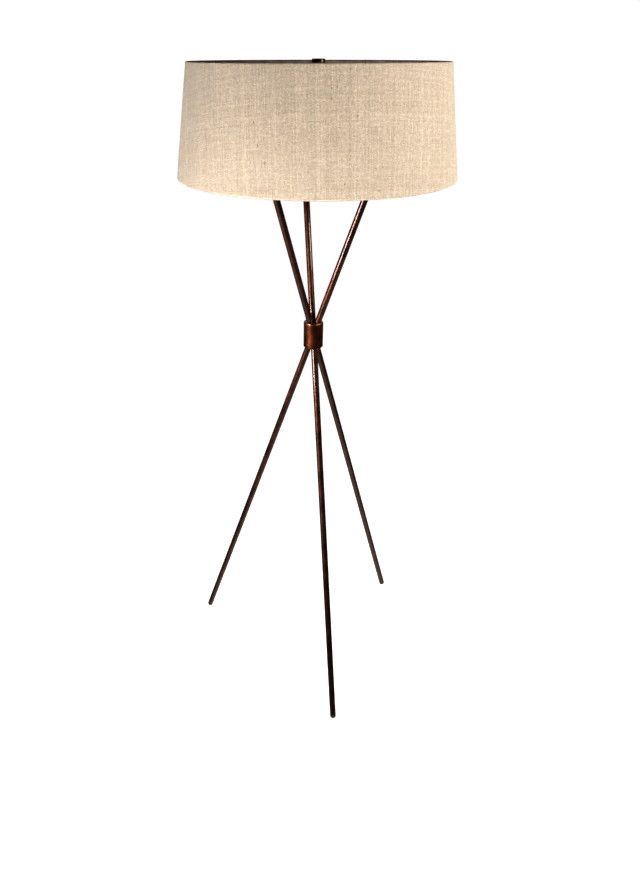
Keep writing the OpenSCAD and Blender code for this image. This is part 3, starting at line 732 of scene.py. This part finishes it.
def dress_frame():
    for lower, upper in (("leg_front", "rod_back"), ("leg_rear_right", "rod_front_left"),
                         ("leg_rear_left", "rod_front_right")):
        dress(aged_bronze("aged_bronze_" + upper, line_of(lower)), lower, upper)
    for arm in ("arm_back", "arm_front_left", "arm_front_right"):
        dress(aged_bronze("aged_bronze_" + arm, line_of(arm)), arm)
    dress(turned_bronze("turned_bronze", "hub_collar"), "hub_collar")
    dress(cast_bronze("cast_bronze"), "elbow_back", "elbow_front_left", "elbow_front_right",
          "wiring_hub", "wiring_hub_cap")
    dress(finial_bronze("finial_bronze"), "finial")
    brass = plated_metal("lacquered_brass", srgb(150, 116, 58), srgb(206, 168, 96), 0.26)
    dress(brass, "hub_nipples", "socket_nipple", "nipple_locknut", "harp_saddle", "harp_top_fitting",
          "harp_ferrule_left", "harp_ferrule_right", "socket_cap", "socket_shell", "switch_shaft")
    harp.data.materials.append(brass)
    steel = plated_metal("zinc_plate", srgb(138, 138, 134), srgb(196, 196, 190), 0.34)
    dress(steel, "rod_end_bushes")
    wire = plated_metal("satin_wire", srgb(150, 148, 142), srgb(206, 204, 198), 0.30, grain=900)
    dress(wire, "shade_top_ring", "shade_bottom_ring", "spider_hub", "spider_arm_back",
          "spider_arm_front_left", "spider_arm_front_right")
    nickel = plated_metal("cap_nickel", srgb(146, 142, 132), srgb(204, 200, 188), 0.24)
    dress(nickel, "socket_screw_shell")
    bulb_cap.data.materials.append(nickel)
    dress(moulded("foot_rubber", srgb(30, 26, 24), srgb(48, 42, 38), 0.72, 1400, 0.00010),
          "foot_glide_front", "foot_glide_rear_right", "foot_glide_rear_left")
    dress(moulded("outlet_nylon", srgb(22, 20, 20), srgb(34, 31, 30), 0.45), "cord_outlet_bushing")
    dress(moulded("lead_jacket", srgb(176, 166, 148), srgb(200, 190, 172), 0.55), "supply_lead")
    dress(moulded("black_phenolic", srgb(20, 19, 19), srgb(34, 32, 30), 0.32, 2200, 0.00004),
          "switch_body", "switch_knob", "bulb_contact")
    dress(pressed_paper("fibre_board"), "socket_liner")
    dress(lining_board_painted_shade("lining_board_painted_shade"), "shade_lining")
    dress(frosted_glass("soft_white_glass"), "bulb_glass")


dress_frame()


# ---- Floor and light ----

def make_floor():
    """A wide pale floor. From below it is clear, so that the underside can be seen."""
    s = Shader("pale_floor", roughness=0.9, specular_ior_level=0.1)
    grain = s.noise(s.place(), scale=3, detail=3)
    color = s.mix(s.span(grain, 0.3, 0.7), srgb(168, 167, 165), srgb(176, 175, 173))
    s.finish(color)
    s.bsdf.inputs["Emission Color"].default_value = (1, 1, 1, 1)
    seen = s.add("LightPath", {})
    feed(s.tree, s.bsdf.inputs["Emission Strength"], s.span(seen, 0, 1, 0.3, 1.0))
    output = s.tree.nodes["Material Output"]
    facing = s.add("NewGeometry", {}, output=6)
    clear = s.add("BsdfTransparent", {})
    shown = s.add("MixShader", {0: facing, 1: s.bsdf.outputs[0], 2: clear})
    s.tree.links.new(shown, output.inputs["Surface"])
    mesh = bpy.data.meshes.new("floor")
    reach, sides = 40.0, 96
    rim = [(reach * math.cos(2 * math.pi * k / sides), reach * math.sin(2 * math.pi * k / sides), 0)
           for k in range(sides)]
    mesh.from_pydata(rim, [], [tuple(range(sides))])
    floor = bpy.data.objects.new("floor", mesh)
    bpy.context.scene.collection.objects.link(floor)
    mesh.materials.append(s.material)
    floor.visible_glossy = False


def panel(name, turn, distance, height, width, tall, watts, lights):
    """A soft panel facing the lamp's axis, itself unseen. Turn is in degrees from the camera's side.

    It either lights matt surfaces or shows in gloss."""
    angle = CAMERA_TURN + math.radians(turn)
    data = bpy.data.lights.new(name, "AREA")
    data.shape = "RECTANGLE"
    data.size, data.size_y = width, tall
    data.energy = watts
    light = bpy.data.objects.new(name, data)
    bpy.context.scene.collection.objects.link(light)
    light.location = (math.sin(angle) * distance, -math.cos(angle) * distance, height)
    light.rotation_euler = (math.radians(90), 0, angle)
    light.visible_camera = False
    light.visible_diffuse = lights != "gloss"
    light.visible_glossy = lights != "matt"


GROUND_COLOR = (1.0, 0.82, 0.68, 1)


def make_world(level, ground, backdrop):
    """Soft light from all round, and warm ground in front. The camera sees a plain white backdrop."""
    world = bpy.data.worlds.new("studio")
    bpy.context.scene.world = world
    world.use_nodes = True
    tree = world.node_tree
    back = tree.nodes["Background"]
    add = partial(add_node, tree)
    way = add("TexCoord", {})
    down = add("MapRange", {0: add("SeparateXYZ", {0: way}, 2), 1: -0.5, 2: -0.84},
               interpolation_type="SMOOTHSTEP")
    camera_side = (math.sin(CAMERA_TURN), -math.cos(CAMERA_TURN), 0)
    ahead = add("VectorMath", {0: way, 1: camera_side}, 1, operation="DOT_PRODUCT")
    near = add("MapRange", {0: ahead, 1: -0.35, 2: 0.2}, interpolation_type="SMOOTHSTEP")
    floor = add("Math", {0: down, 1: near}, operation="MULTIPLY")
    seen = add("LightPath", {})
    strength = add("MapRange", {0: floor, 3: level, 4: ground})
    strength = add("Mix", {0: seen, 2: strength, 3: backdrop})
    warmth = add("Math", {0: floor, 1: add("Math", {0: 1.0, 1: seen}, operation="SUBTRACT")},
                 operation="MULTIPLY")
    color = add("Mix", {0: warmth, 6: (1, 1, 1, 1), 7: GROUND_COLOR}, 2, data_type="RGBA")
    tree.links.new(color, back.inputs["Color"])
    tree.links.new(strength, back.inputs["Strength"])


def make_light():
    make_world(0.06, 1.1, 1.1)
    panel("low_left", -60, 0.95, 0.40, 0.50, 0.50, 27, lights="matt")
    panel("near_left", -20, 0.87, 1.10, 0.30, 0.20, 4.5, lights="matt")
    panel("key_right", 67, 1.70, 1.42, 0.70, 0.30, 26, lights="matt")
    panel("strip_left", -50, 1.30, 1.08, 0.17, 0.38, 28, lights="gloss")
    panel("strip_low", -40, 1.30, 0.50, 0.60, 0.60, 0.7, lights="gloss")
    panel("high_right", 66, 1.40, 1.66, 0.26, 0.26, 12, lights="gloss")
    panel("rim_left", -135, 1.60, 1.00, 0.40, 0.90, 8, lights="matt")
    panel("rim_right", 140, 1.60, 1.00, 0.40, 0.90, 8, lights="matt")
    panel("strip_back", 170, 1.30, 1.00, 0.50, 0.80, 3, lights="gloss")
    view = bpy.context.scene.view_settings
    view.view_transform = "Standard"
    view.look = "None"


make_floor()
make_light()
